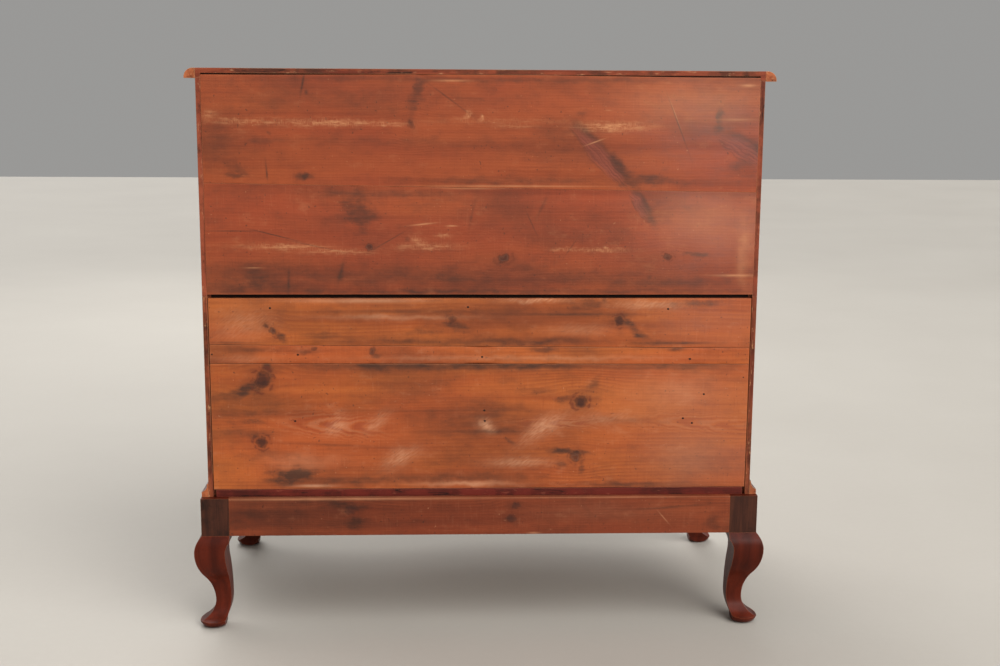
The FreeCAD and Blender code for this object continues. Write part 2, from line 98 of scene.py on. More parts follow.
class Paint:
    """The nodes of one material. Inputs may be numbers, colours or other nodes' outputs."""

    def __init__(self, name, settings=None):
        self.material = bpy.data.materials.new(name)
        self.material.use_nodes = True
        self.tree = self.material.node_tree
        self.shader = self.tree.nodes["Principled BSDF"]
        for socket, value in (settings or {}).items():
            self.shader.inputs[socket].default_value = value
        self.place = self.add("ShaderNodeTexCoord").outputs["Object"]
        self.x, self.y, self.z = self.add("ShaderNodeSeparateXYZ", Vector=self.place).outputs
        self.colour = None

    def feed(self, socket, value):
        if isinstance(value, bpy.types.NodeSocket):
            self.tree.links.new(value, socket)
        else:
            socket.default_value = value

    def add(self, kind, **inputs):
        node = self.tree.nodes.new(kind)
        for name, value in inputs.items():
            self.feed(node.inputs[name], value)
        return node

    def do(self, operation, *values, kind="ShaderNodeMath", output=0):
        node = self.tree.nodes.new(kind)
        node.operation = operation
        for socket, value in zip(node.inputs, values):
            self.feed(socket, value)
        return node.outputs[output]

    def shift(self, operation, *vectors):
        return self.do(operation, *vectors, kind="ShaderNodeVectorMath")

    def measure(self, operation, *vectors):
        """The number that a vector operation gives."""
        return self.do(operation, *vectors, kind="ShaderNodeVectorMath", output="Value")

    def times(self, *values):
        product = values[0]
        for value in values[1:]:
            product = self.do("MULTIPLY", product, value)
        return product

    def stretch(self, scale, seed=0.0, point=None):
        """The place, scaled by axis and moved by a seed."""
        return self.add("ShaderNodeMapping", Vector=point or self.place, Scale=scale,
                        Location=(seed, seed * 0.7, seed * 1.3)).outputs[0]

    def noise(self, point, detail=2.0, roughness=0.5, distortion=0.0):
        return self.add("ShaderNodeTexNoise", Vector=point, Scale=1.0, Detail=detail, Roughness=roughness,
                        Distortion=distortion).outputs["Fac"]

    def cloud(self, scale, seed, *shape):
        """Noise that is alike in all directions."""
        return self.noise(self.stretch([scale] * 3, seed), *shape)

    def grain(self, axis, lengthwise, crosswise, seed, *shape):
        """Noise drawn out along one axis."""
        scale = [crosswise] * 3
        scale[axis] = lengthwise
        return self.noise(self.stretch(scale, seed), *shape)

    def smooth(self, value, low, high, top=1.0):
        """0 below low, top above high, and a smooth step between."""
        steps = {"Value": value, "From Min": low, "From Max": high, "To Max": top}
        node = self.add("ShaderNodeMapRange", **steps)
        node.interpolation_type = "SMOOTHSTEP"
        return node.outputs[0]

    def between(self, value, low, high):
        """A plain rescale of 0 to 1."""
        return self.do("MULTIPLY_ADD", value, high - low, low)

    def mix(self, share, first, second, blend="MIX"):
        node = self.tree.nodes.new("ShaderNodeMix")
        node.data_type = "RGBA"
        node.blend_type = blend
        for index, value in ((0, share), (6, first), (7, second)):
            self.feed(node.inputs[index], value)
        return node.outputs[2]

    def lay(self, colour, *shares, blend="MIX"):
        """Lays a colour over what is there, by the product of shares from 0 to 1."""
        self.colour = self.mix(self.times(*shares), self.colour, colour, blend)

    def veil(self, colour, value, low, high, top=1.0):
        """Lays a colour where a value passes from low to high."""
        self.lay(colour, self.smooth(value, low, high, top))

    def local(self, point, x, z, half_x, half_z, turn=0.0):
        """A point of the X Z plane, seen from a turned ellipse in units of its half sizes."""
        node = self.add("ShaderNodeMapping", Vector=point, Location=(x, z, 0.0),
                        Rotation=(0.0, 0.0, math.radians(turn)), Scale=(half_x, half_z, 1.0))
        node.vector_type = "TEXTURE"
        return node.outputs[0]

    def squared(self, point, x, z, half_x, half_z, turn=0.0):
        """Square of the distance from the middle of a turned ellipse, in units of its half sizes.
        A Mapping node in every mark would use up the room that Cycles has for one material."""
        off = self.shift("SUBTRACT", point, (x, z, 0.0))
        cosine = math.cos(math.radians(turn))
        sine = math.sin(math.radians(turn))
        along = self.measure("DOT_PRODUCT", off, (cosine / half_x, sine / half_x, 0.0))
        across = self.measure("DOT_PRODUCT", off, (-sine / half_z, cosine / half_z, 0.0))
        return self.do("MULTIPLY_ADD", along, along, self.times(across, across))

    def distance(self, *place):
        return self.do("SQRT", self.squared(*place))

    def bell(self, value, middle, width):
        """1 at the middle, fading to 0 on both sides."""
        off = self.do("DIVIDE", self.do("SUBTRACT", value, middle), width)
        return self.do("EXPONENT", self.times(off, off, -1.0))

    def spot(self, *place):
        """1 at the middle of a soft ellipse, fading to 0."""
        return self.do("EXPONENT", self.times(self.squared(*place), -1.0))

    def wear(self, radius):
        """1 along rounded edges, 0 on open faces."""
        soft = self.add("ShaderNodeBevel", Radius=radius)
        soft.samples = 4
        flat = self.tree.nodes.new("ShaderNodeNewGeometry")
        alike = self.measure("DOT_PRODUCT", soft.outputs[0], flat.outputs["Normal"])
        return self.smooth(alike, 0.995, 0.90)

    def finish(self, roughness, height=None, depth=0.2 * MM):
        """Ends the material in the colour laid so far."""
        self.feed(self.shader.inputs["Base Color"], self.colour)
        self.feed(self.shader.inputs["Roughness"], roughness)
        if height is not None:
            bump = self.add("ShaderNodeBump", Height=height, Distance=depth, Strength=1.0)
            self.feed(self.shader.inputs["Normal"], bump.outputs[0])
        return self.material


# Marks on the back boards: millimetres from the middle of the footprint and from the floor.
# A mark is (x, z, half width, half height, strength in hundredths) and, if turned, the degrees.
# A nail hole is (x, z).
# Each board's pale greyish veil towards -X is a painted sheen, and its broadest stains are painted shade.
upper_high_marks = dict(
    knots=[(141, 1043, 6, 10, 60, -35)],
    spikes=[(-236, 982, 76, 17, 100, 47), (-522, 998, 50, 20, 90, 30)],
    flushes=[
        (300, 985, 300, 36, 30), (0, 985, 150, 36, 20), (-240, 985, 120, 40, 25), (0, 1045, 110, 30, 22)],
    painted_sheen=[(-470, 1040, 150, 120, 12)],
    stains_and_shade=[
        (-272, 962, 50, 10, 50, 47), (-330, 938, 60, 12, 65, 6), (0, 1095, 110, 30, 24),
        (-300, 932, 30, 12, 50), (-410, 930, 110, 9, 40), (-472, 1058, 8, 26, 85),
        (-466, 1036, 12, 12, 55), (-525, 962, 34, 30, 40, 20), (125, 1108, 14, 28, 62, 20),
        (138, 1070, 10, 30, 38, 10), (353, 1121, 2.4, 19, 85, 11), (346, 1104, 3.4, 5, 70),
        (427, 950, 1.8, 17, 85, -4), (356, 940, 26, 8, 60), (352, 941, 8, 10, 70),
        (484, 954, 34, 14, 45, 28), (488, 940, 24, 7, 60), (-60, 932, 190, 8, 50),
        (-390, 1045, 1.5, 50, 80, -22), (70, 1096, 42, 1.5, 60, 36), (520, 1000, 34, 70, 36),
        (-30, 1130, 520, 5, 45), (280, 1090, 200, 26, 18), (0, 1000, 300, 14, 22, 2),
        (300, 1010, 200, 9, 22), (430, 1010, 26, 8, 30), (-190, 1066, 12, 6, 40), (420, 1026, 5, 5, 45)],
    rubs=[
        (-420, 1085, 150, 44, 26), (-60, 921.5, 150, 1.8, 55), (-383, 1066, 1, 26, 50, -22),
        (-505, 1055, 34, 3, 35), (-528, 1122, 14, 3, 70), (62, 1128, 30, 2, 60),
        (-225, 1010, 18, 1.2, 60, -20), (-250, 1072, 6, 1.2, 40)],
    scrapes=[
        (470, 1047, 70, 5, 50), (310, 1045, 95, 7, 80), (190, 1043, 50, 4, 45), (535, 1060, 16, 9, 40),
        (-65, 1040, 40, 4, 40), (-265, 1040, 64, 9, 90), (-20, 1050, 120, 5, 25),
        (30, 1062, 5, 9, 90, 30), (2, 1056, 3, 5, 90)],
)
upper_low_marks = dict(
    knots=[(225, 799, 7, 6, 75), (-44, 777, 12, 8, 80, -15), (-375, 780, 8, 7, 80)],
    spikes=[(-317, 885, 32, 12, 90, 58)],
    flushes=[
        (250, 740, 220, 36, 42), (0, 740, 170, 36, 36), (-440, 740, 150, 40, 35),
        (-440, 800, 110, 40, 30), (330, 810, 300, 40, 25), (100, 815, 260, 30, 15)],
    painted_sheen=[(-470, 850, 140, 110, 12)],
    stains_and_shade=[
        (0, 742, 640, 32, 34), (130, 740, 200, 26, 6), (215, 835, 110, 40, 22),
        (244, 868, 34, 44, 62, -35), (270, 905, 64, 15, 60), (160, 905, 100, 7, 50),
        (-338, 855, 12, 34, 50, -30), (-350, 866, 40, 30, 28), (-430, 787, 36, 8, 80, 3),
        (-500, 905, 70, 9, 30), (454, 741, 26, 32, 50), (388, 731, 3, 22, 85, 3),
        (283, 749, 4, 24, 80, 15), (284, 738, 8, 8, 50), (460, 735, 150, 34, 35), (480, 718, 90, 9, 60),
        (-350, 726, 200, 9, 45), (0, 709, 540, 5, 65), (-120, 880, 3.4, 26, 40, 25),
        (500, 831, 50, 1.1, 90), (415, 823, 46, 1.1, 90, 14), (330, 800, 50, 1.1, 90, 12),
        (187, 812, 32, 1.1, 85, -30), (20, 866, 3, 30, 40, 12), (-180, 800, 18, 1.2, 60, -55),
        (-100, 846, 1.2, 22, 70, -25), (60, 735, 60, 12, 40), (260, 735, 260, 30, 26),
        (-340, 740, 6, 6, 60), (150, 816, 8, 7, 50), (-60, 742, 200, 14, 24)],
    rubs=[
        (-450, 855, 120, 56, 26), (120, 845, 22, 1.6, 60, -6), (-532, 790, 14, 70, 35),
        (-515, 742, 40, 2.5, 60), (60, 842, 10, 1.5, 60), (30, 917, 60, 2, 40), (458, 757, 16, 1.2, 50)],
    scrapes=[
        (400, 799, 80, 6, 65), (290, 790, 70, 5, 55), (110, 800, 60, 7, 50), (-235, 794, 60, 4, 65),
        (130, 812, 16, 7, 60, 30), (75, 822, 14, 4, 70), (-160, 795, 20, 3, 50)],
)
lower_high_marks = dict(
    knots=[
        (436, 640, 4, 5, 70, 40), (422, 628, 5, 9, 85, -40), (60, 652, 8, 7, 70),
        (-280, 648, 9, 9, 90, 35)],
    flushes=[
        (0, 655, 120, 40, 45), (-200, 655, 120, 40, 55), (380, 650, 160, 40, 26),
        (-120, 612, 110, 12, 50), (-460, 650, 110, 40, 20)],
    painted_sheen=[(-470, 650, 120, 50, 9)],
    stains_and_shade=[
        (0, 660, 120, 40, 24), (-215, 664, 110, 40, 30), (430, 670, 140, 30, 14),
        (404, 616, 18, 9, 80, 40), (52, 644, 24, 13, 60, 25), (-303, 632, 34, 14, 95, 42),
        (-330, 618, 26, 13, 60, 42), (-228, 682, 60, 12, 60), (-440, 684, 60, 9, 55),
        (-90, 606, 150, 10, 75), (150, 605, 190, 9, 55), (-385, 602, 75, 3.5, 95), (100, 668, 260, 4, 40),
        (-170, 662, 140, 3, 60), (500, 604, 60, 3, 50), (330, 618, 40, 10, 45), (130, 625, 60, 8, 40),
        (-250, 690, 10, 10, 60)],
    rubs=[
        (250, 690, 120, 4, 50), (-110, 690, 60, 5, 45), (-340, 682, 60, 9, 40), (180, 656, 140, 5, 30),
        (480, 640, 60, 30, 22), (-200, 630, 60, 12, 20)],
    nails=[(427, 675), (28, 677), (-380, 673)],
)
lower_middle_marks = dict(
    knots=[(340, 592, 5, 4, 65, 20), (222, 587, 6, 8, 75, 30)],
    stains_and_shade=[
        (214, 576, 14, 8, 50), (-128, 588, 34, 8, 55), (358, 586, 24, 8, 50), (440, 591, 120, 6, 40),
        (-385, 595, 75, 4, 95), (-400, 588, 26, 6, 60)],
    rubs=[(-100, 572, 300, 5, 25), (480, 570, 60, 8, 15)],
    nails=[(373, 579), (-1, 574), (-428, 569)],
)
lower_low_marks = dict(
    knots=[
        (446, 527, 13, 17, 95, 12), (450, 397, 11, 10, 95), (-205, 481, 12, 12, 95),
        (-196, 363, 10, 10, 80)],
    flames=[(300, 432, 110, 26, 65, 4), (-160, 434, 100, 14, 75), (-440, 434, 140, 22, 45, 4)],
    flushes=[
        (20, 432, 110, 40, 65), (-40, 392, 120, 12, 40), (0, 350, 130, 50, 45), (-180, 440, 120, 26, 35),
        (-440, 345, 140, 46, 42), (-440, 450, 140, 80, 28)],
    painted_sheen=[(-470, 400, 130, 110, 6)],
    stains_and_shade=[
        (0, 440, 120, 60, 30), (0, 350, 150, 50, 26), (-440, 350, 140, 46, 24), (215, 350, 110, 40, 16),
        (436, 556, 13, 16, 95, -10), (470, 512, 36, 14, 110, -12), (500, 498, 46, 13, 45, -10),
        (428, 536, 12, 18, 60), (462, 412, 12, 7, 75, -50), (-170, 484, 28, 9, 80),
        (-232, 515, 13, 28, 65, 30), (-176, 374, 48, 6, 80, 4), (-172, 338, 14, 16, 60),
        (-208, 338, 7, 22, 55), (190, 556, 190, 10, 95), (-60, 556, 190, 9, 90), (-390, 556, 150, 10, 60),
        (388, 327, 50, 22, 100), (270, 312, 110, 10, 65), (60, 318, 160, 9, 50), (480, 455, 70, 10, 50),
        (480, 418, 64, 9, 65), (470, 440, 50, 6, 50), (20, 446, 120, 26, 38), (-30, 418, 70, 5, 60),
        (-300, 303, 130, 6, 65), (95, 462, 200, 3, 30), (-280, 440, 90, 10, 25),
        (300, 390, 150, 3, 30, 3), (430, 370, 60, 14, 30), (-120, 505, 40, 8, 40),
        (-60, 396, 12, 4, 60, 30)],
    rubs=[
        (165, 362, 34, 16, 42, -30), (-130, 428, 46, 18, 50, -35), (-80, 352, 60, 10, 40),
        (296, 430, 20, 14, 40, -30), (215, 438, 30, 12, 28, -40), (345, 303, 40, 3, 60),
        (30, 306, 90, 5, 55), (-260, 444, 60, 14, 20), (-400, 500, 100, 40, 22), (370, 356, 70, 16, 22),
        (-10, 430, 16, 11, 60, 30), (-440, 360, 90, 50, 16)],
    nails=[(381, 441), (-7, 440), (-417, 444), (-436, 434), (-459, 495), (-6, 462)],
)
rail_marks = dict(
    knots=[(268, 256, 13, 9, 60, -20), (-72, 262, 8, 7, 65), (-62, 235, 9, 8, 60)],
    stains_and_shade=[
        (285, 264, 50, 12, 70, 8), (262, 230, 18, 16, 60), (440, 250, 90, 26, 45), (-66, 225, 16, 14, 30),
        (-400, 257, 80, 2.5, 50, -4), (-490, 225, 16, 18, 40), (150, 225, 200, 8, 25),
        (500, 218, 30, 14, 30)],
    rubs=[
        (-110, 202.5, 12, 2, 90), (-380, 235, 1.2, 16, 60, -40), (-260, 245, 160, 20, 10),
        (300, 278, 260, 2.5, 70), (-250, 278.5, 200, 1.5, 40)],
)

fine_mark = 4 * MM  # marks with a half size up to this run true
wide_mark = 12 * MM  # marks wider than this both ways have ragged edges
local_mark = 60 * MM  # marks up to this both ways have torn or brushed edges
nail_hole = (2.3 * MM, 2.0 * MM)

# The second tone here, pale and greyish, is a painted sheen laid onto the back boards.
flame_tone, painted_sheen_tone = tones((140, 56, 32), (188, 158, 156))
crack_tone, hole_tone = tones((26, 16, 13), (16, 9, 7))
spike_tones = tones((142, 75, 59), (112, 58, 48))
heart_tone, collar_tone = tones((58, 32, 26), (104, 46, 28))
eye_tone, rim_tone = tones((128, 92, 74), (34, 20, 16))


def pine(name, seed, colours, marks, ring_width, contrast):
    """Stained, worn softwood with its grain along X, with painted shade in its broadest stains and a
    painted sheen.
    """
    light, amber, dark, dirt, pale = colours
    p = Paint(name, {"Specular IOR Level": 0.25})
    flat = p.add("ShaderNodeCombineXYZ", X=p.x, Y=p.z).outputs[0]

    def wandering(size, reach):
        """The flat place, shifted by noise of a size in metres."""
        wobble = p.add("ShaderNodeTexNoise", Vector=p.stretch([1 / size] * 3, seed), Scale=1, Detail=3)
        off = p.shift("SUBTRACT", wobble.outputs["Color"], (0.5, 0.5, 0.0))
        return p.shift("MULTIPLY_ADD", off, (2 * reach, 2 * reach, 0.0), flat)

    ragged = wandering(60 * MM, 22 * MM)
    rough = wandering(26 * MM, 8 * MM)
    gnarled = wandering(10 * MM, 8 * MM)

    def figure(scale, offset, *shape):
        return p.noise(p.stretch(scale, seed + offset), *shape)

    def each(kind):
        """Strength of each mark of a kind, and its place in metres with any turn."""
        for x, z, half_x, half_z, strength, *turn in marks.get(kind, ()):
            yield strength / 100, (x * MM, z * MM, half_x * MM, half_z * MM, *turn)

    def smudge(place):
        """A soft mark. Wide ones have ragged edges, and fine ones run true."""
        least = min(place[2:4])
        return p.spot(ragged if least > wide_mark else rough if least > fine_mark else flat, *place)

    def small(place):
        return min(place[2:4]) > fine_mark and max(place[2:4]) <= local_mark

    # Grain that parts round the knots
    across = p.z
    for _, (x, z, half_x, half_z, *_) in each("knots"):
        near = p.spot(flat, x, z, 5 * half_x, 3.2 * half_z)
        across = p.do("MULTIPLY_ADD", p.do("SUBTRACT", z, p.z), p.times(near, 0.85), across)
    across = p.do("MULTIPLY_ADD", figure((1.2, 1, 5), 0), 40 * MM, across)
    uneven = figure((1, 1, 26), 2)
    ring = p.do("FRACT", p.do("MULTIPLY_ADD", uneven, 2.4, p.do("DIVIDE", across, ring_width)))
    late = p.times(p.smooth(ring, 0.0, 0.8), p.smooth(ring, 1, 0.8))

    broad = figure((1.6, 1, 6), 1, 3, 0.55)
    patchy = figure((2.2, 1, 11), 3, 3, 0.6)
    streak = figure((1, 1, 26), 5, 4, 0.6, 0.4)
    thread = figure((5, 1, 150), 6, 3, 0.6)
    fibre = figure((30, 30, 600), 7, 2, 0.6)
    grime = figure((4, 4, 8), 11, 5, 0.65)
    mottle = figure((26, 26, 44), 12, 4, 0.65)
    brush = figure((9, 1, 60), 15, 3, 0.6)
    scuff = figure((380, 1, 24), 19, 2, 0.6)
    pits = p.cloud(170, seed + 17, 1)
    strokes = p.smooth(p.noise(p.local(flat, 0.0, 0.0, 18 * MM, 1.8 * MM, -40), 3, 0.6), 0.36, 0.64)

    p.colour = p.mix(p.smooth(broad, 0.36, 0.64), light, amber)
    p.veil(dark, streak, 0.44, 0.74, 0.5)
    p.veil(dark, thread, 0.48, 0.78, 0.3)
    p.veil(dark, scuff, 0.56, 0.76, 0.24)
    p.veil(pale, scuff, 0.42, 0.24, 0.1)
    p.lay(dark, late, p.smooth(patchy, 0.42, 0.66, contrast))
    p.lay(p.mix(fibre, dark, light), 0.22, blend="OVERLAY")
    p.veil(dirt, grime, 0.44, 0.74, 0.46)
    p.veil(dirt, mottle, 0.46, 0.8, 0.24)
    p.veil(pale, mottle, 0.44, 0.22, 0.12)
    p.veil(dirt, pits, 0.72, 0.77, 0.6)
    p.veil(pale, pits, 0.24, 0.19, 0.3)

    # Flames: arched rings where the saw ran out of a growth ring
    for strength, place in each("flames"):
        spot = p.local(rough, *place)
        far = p.measure("LENGTH", spot)
        along, off, _ = p.add("ShaderNodeSeparateXYZ", Vector=spot).outputs
        arch = p.do("SINE", p.times(p.do("MULTIPLY_ADD", off, p.times(off, 1.3), along), 11))
        share = p.times(p.do("EXPONENT", p.times(far, far, -1.5)), strength)
        p.lay(flame_tone, share, p.smooth(arch, 0.0, 1))
        p.lay(pale, share, p.smooth(arch, 0.1, -1, 0.3))

    # Spike knots: a lens of red wood with a dark upper edge
    blot = p.smooth(p.do("MULTIPLY_ADD", brush, 0.5, p.times(mottle, 0.5)), 0.34, 0.66)
    fleck = p.between(blot, 0.55, 1.25)
    torn = p.between(blot, -0.3, 0.1)
    for strength, place in each("spikes"):
        spot = p.local(rough, *place)
        far = p.measure("LENGTH", spot)
        side = p.add("ShaderNodeSeparateXYZ", Vector=spot).outputs["Y"]
        lines = p.noise(p.stretch((1.2, 7, 1), seed, spot), 3, 0.6)
        p.veil(p.mix(p.smooth(lines, 0.38, 0.66), *spike_tones), far, 1.25, 0.6, 0.85 * strength)
        upper = p.times(p.bell(far, 0.95, 0.42), p.smooth(side, -0.3, 0.6, 0.72 * strength), fleck)
        outline = p.times(p.bell(far, 1, 0.16), p.smooth(lines, 0.4, 0.6, 0.4 * strength))
        p.lay(dirt, p.do("MINIMUM", p.do("MAXIMUM", upper, outline), 0.9))

    # Discolouring and wear, with painted shade in the broadest stains and a painted sheen
    for strength, place in each("flushes"):
        p.lay(dark, smudge(place), p.between(blot, 0.75, 1.15), strength)
    # Stains in the dirt tone: the small ones are real stains, and those wider than local_mark are painted
    # shade laid over whole areas.
    for strength, place in each("stains_and_shade"):
        share = smudge(place)
        if small(place):
            share = p.smooth(p.do("ADD", share, torn), 0.12, 0.95)
        p.lay(dirt, p.do("MINIMUM", p.times(share, strength, fleck), 0.92))
    for strength, place in each("rubs"):
        worn = p.between(strokes, 0.35, 1.25) if small(place) else p.between(blot, 1, 0.6)
        p.lay(pale, smudge(place), worn, strength)
    # Painted sheen: a pale greyish veil towards the -X end of each board, where the light glances off the
    # wood.
    for strength, place in each("painted_sheen"):
        p.lay(painted_sheen_tone, smudge(place), p.between(blot, 0.7, 1.2), strength)
    ticks = p.smooth(figure((560, 1, 90), 13, 2, 0.6), 0.44, 0.64, 0.6)
    patches = p.smooth(figure((34, 1, 230), 14, 3, 0.7), 0.42, 0.68)
    scraped = p.between(p.do("MAXIMUM", ticks, patches), 0.12, 1)
    for strength, place in each("scrapes"):
        p.lay(pale, p.spot(gnarled, *place), scraped, strength)

    # Knots, then nail holes
    for darkness, place in each("knots"):
        x, z, half_x, half_z, *turn = place
        far = p.distance(gnarled, *place)
        wide = p.spot(rough, x, z, 2 * half_x, 1.6 * half_z, *turn)
        p.lay(dirt, wide, 0.5 * darkness, fleck)
        broken = p.smooth(mottle, 0.44, 0.56, max(0.0, 2 * darkness - 1.2))
        p.lay(collar_tone, p.bell(far, 1.7, 0.2), broken)
        p.lay(heart_tone, p.smooth(far, 1.25, 0.5, darkness), p.between(blot, 0.75, 1))
        if 0.7 < darkness < 0.9:
            p.lay(eye_tone, p.bell(far, 0.62, 0.18), 0.25)
        p.lay(rim_tone, p.bell(far, 1, 0.16), 0.35 * darkness)
    for x, z in marks.get("nails", ()):
        p.veil(hole_tone, p.distance(flat, x * MM, z * MM, *nail_hole), 1.2, 0.8)

    p.lay(pale, p.wear(2 * MM), p.between(grime, 0.0, 0.8), 0.55)
    relief = p.do("ADD", p.times(fibre, 0.5), p.times(late, 0.3))
    relief = p.do("ADD", relief, p.times(mottle, 0.6))
    return p.finish(p.between(streak, 0.5, 0.76), relief, 0.3 * MM)


def bare(name, along, seed, colours, chips=0.0):
    """Hardwood left unpolished at the back: grimy, cracked along its grain and knocked pale in places."""
    light, dark, dirt, pale = colours
    p = Paint(name, {"Specular IOR Level": 0.18})
    streak = p.grain(along, 5, 70, seed, 4, 0.65, 0.5)
    fine = p.grain(along, 24, 420, seed + 3, 3, 0.6)
    cloud = p.cloud(14, seed + 5, 5, 0.7)
    split = p.do("ABSOLUTE", p.do("SUBTRACT", p.grain(along, 3, 90, seed + 7), 0.5))
    knock = p.grain(along, 40, 150, seed + 9, 4, 0.7)
    p.colour = p.mix(p.smooth(streak, 0.35, 0.68), light, dark)
    p.veil(dirt, cloud, 0.42, 0.66, 0.75)
    p.lay(p.mix(fine, dark, light), 0.35, blend="OVERLAY")
    p.lay(crack_tone, p.smooth(split, 0.012, 0.004), p.smooth(cloud, 0.48, 0.6, 0.8))
    p.veil(pale, knock, 0.6, 0.68, chips)
    p.lay(pale, p.wear(2 * MM), p.smooth(cloud, 0.35, 0.62, 0.6))
    return p.finish(p.between(cloud, 0.5, 0.8), p.do("ADD", fine, p.times(cloud, 0.8)), 0.25 * MM)


def hardwood(name, along, seed, colours, gloss, wear=0.5, arch_height=None, dull=None):
    """Polished hardwood. along is the grain's axis, arch_height the middle of an arched veneer,
    and dull marks where the polish is missing."""
    light, dark, deep, pale = colours
    p = Paint(name, {"Coat Weight": gloss, "Coat Roughness": 0.16,
                     "Specular IOR Level": 0.05 + 1.1 * gloss})
    streak = p.grain(along, 1.6, 34, seed, 4, 0.6, 0.6)
    fine = p.grain(along, 9, 320, seed + 3, 3, 0.6)
    pores = p.smooth(p.grain(along, 45, 1300, seed + 5, 1), 0.6, 0.72)
    cloud = p.cloud(5, seed + 7, 3, 0.6)
    p.colour = p.mix(p.smooth(streak, 0.3, 0.72), light, dark)
    p.veil(deep, cloud, 0.45, 0.75, 0.55)
    if arch_height is not None:
        reach = 50 * MM
        spacing = 15 * MM
        sway = p.noise(p.stretch((3.5, 3.5, 8), seed + 9), 3, 0.55)
        off = p.do("SUBTRACT", p.do("MULTIPLY_ADD", sway, reach, p.z), arch_height + reach / 2)
        arch = p.do("MULTIPLY_ADD", p.do("ABSOLUTE", p.x), 0.16, p.times(off, off, 11))
        arch = p.do("MULTIPLY_ADD", sway, reach, arch)
        band = p.do("SINE", p.times(arch, 2 * math.pi / spacing))
        p.lay(deep, p.smooth(band, -0.6, 1), p.smooth(cloud, 0.25, 0.7, 0.4))
        p.veil(light, band, 0.2, -1, 0.24)
    p.lay(p.mix(fine, dark, light), 0.35, blend="OVERLAY")
    p.lay(deep, pores, 0.5)
    p.lay(pale, p.wear(2.5 * MM), p.smooth(cloud, 0.3, 0.62, wear))
    roughness = p.between(fine, 0.3, 0.46)
    if dull:
        share, bare_tone = dull(p, cloud, fine)
        p.lay(bare_tone, share)
        roughness = p.do("MULTIPLY_ADD", share, 0.35, roughness)
    relief = p.do("SUBTRACT", p.times(fine, 0.4), p.times(pores, 0.5))
    return p.finish(roughness, relief, 0.12 * MM)


def raw_inside(p, cloud, fine):
    """Inner faces of the sides, never polished."""
    inner = p.smooth(p.do("ABSOLUTE", p.x), case_half - 1 * MM, case_half - 3 * MM)
    behind = p.smooth(p.y, corner_y + 4 * MM, corner_y + 6 * MM, 0.92)
    plain = p.mix(p.smooth(cloud, 0.35, 0.65), *tones((166, 92, 58), (118, 58, 38)))
    return p.times(inner, behind), p.mix(fine, plain, tone(138, 74, 48))


def faced_edge(p, cloud, fine):
    """Boards that are polished only along their front edge."""
    facing_back = -226 * MM
    plain = p.mix(p.smooth(cloud, 0.35, 0.65), *tones((158, 112, 72), (118, 78, 48)))
    return p.smooth(p.y, facing_back, facing_back + 4 * MM, 0.95), plain


def lining(name, along, seed, light, dark):
    """Bare, dusty softwood inside the case and the drawers."""
    p = Paint(name, {"Specular IOR Level": 0.2})
    streak = p.grain(along, 1.7, 42, seed, 4, 0.6, 0.4)
    fibre = p.grain(along, 16, 520, seed + 3, 2, 0.6)
    dust = p.cloud(9, seed + 5, 4, 0.6)
    p.colour = p.mix(p.smooth(streak, 0.35, 0.7), light, dark)
    p.lay(p.mix(fibre, dark, light), 0.3, blend="OVERLAY")
    p.veil(tone(120, 90, 62), dust, 0.5, 0.8, 0.4)
    return p.finish(p.between(dust, 0.65, 0.9), p.do("ADD", p.times(fibre, 0.6), streak))


def brass(name):
    p = Paint(name, {"Metallic": 1})
    cloud = p.cloud(60, 2, 4, 0.65)
    speck = p.cloud(420, 5, 2, 0.6)
    p.colour = p.mix(p.smooth(cloud, 0.4, 0.72), *tones((214, 172, 92), (138, 98, 46)))
    p.veil(tone(72, 50, 28), speck, 0.6, 0.75, 0.5)
    p.lay(tone(236, 200, 124), p.wear(1.2 * MM), 0.6)
    return p.finish(p.between(cloud, 0.2, 0.46), speck, 0.05 * MM)


def iron(name):
    p = Paint(name, {"Metallic": 0.6})
    rust = p.cloud(300, 3, 3, 0.6)
    p.colour = p.mix(p.smooth(rust, 0.4, 0.65), *tones((34, 26, 23), (78, 44, 30)))
    return p.finish(p.between(rust, 0.55, 0.85), rust, 0.1 * MM)


def floor_paint():
    p = Paint("floor_paint")
    cloud = p.cloud(1.1, 4, 4, 0.6)
    speck = p.cloud(60, 6, 3, 0.6)
    p.colour = p.mix(cloud, *tones((178, 172, 163), (192, 187, 178)))
    p.lay(tone(158, 151, 141), speck, 0.12)
    return p.finish(p.between(cloud, 0.62, 0.78))


# Mesh helpers
def add_object(name, data):
    obj = bpy.data.objects.new(name, data)
    bpy.context.scene.collection.objects.link(obj)
    return obj


def piece(name, bm, body, material, replaced=(), smooth_angle=35.0):
    """Turns a bmesh into a piece that rides on a body."""
    mesh = bpy.data.meshes.new(name)
    bmesh.ops.recalc_face_normals(bm, faces=bm.faces)
    bm.to_mesh(mesh)
    bm.free()
    mesh.polygons.foreach_set("use_smooth", [True] * len(mesh.polygons))
    mesh.set_sharp_from_angle(angle=math.radians(smooth_angle))
    mesh.materials.append(material)
    obj = add_object(name, mesh)
    weighted = obj.modifiers.new("even_shading", "WEIGHTED_NORMAL")
    weighted.keep_sharp = True
    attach(obj, body)
    if replaced:
        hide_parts(*replaced)
    return obj


def softened(node, width, material, body="chest"):
    """A copy of a CAD node with its sharp edges rounded by a width in millimetres, shown in its place."""
    flat_angle = math.radians(0.4)
    sharp_angle = math.radians(34)
    bm = bmesh.new()
    bm.from_mesh(nodes[node].data)
    bmesh.ops.remove_doubles(bm, verts=bm.verts, dist=0.002 * MM)
    bmesh.ops.dissolve_limit(bm, angle_limit=flat_angle, verts=bm.verts, edges=bm.edges)
    sharp = [e for e in bm.edges if len(e.link_faces) == 2 and e.calc_face_angle(0.0) > sharp_angle]
    bmesh.ops.bevel(bm, geom=sharp, offset=width * MM, segments=2, profile=0.5, affect="EDGES",
                    clamp_overlap=True)
    return piece(node + ".worn", bm, body, material, [node])


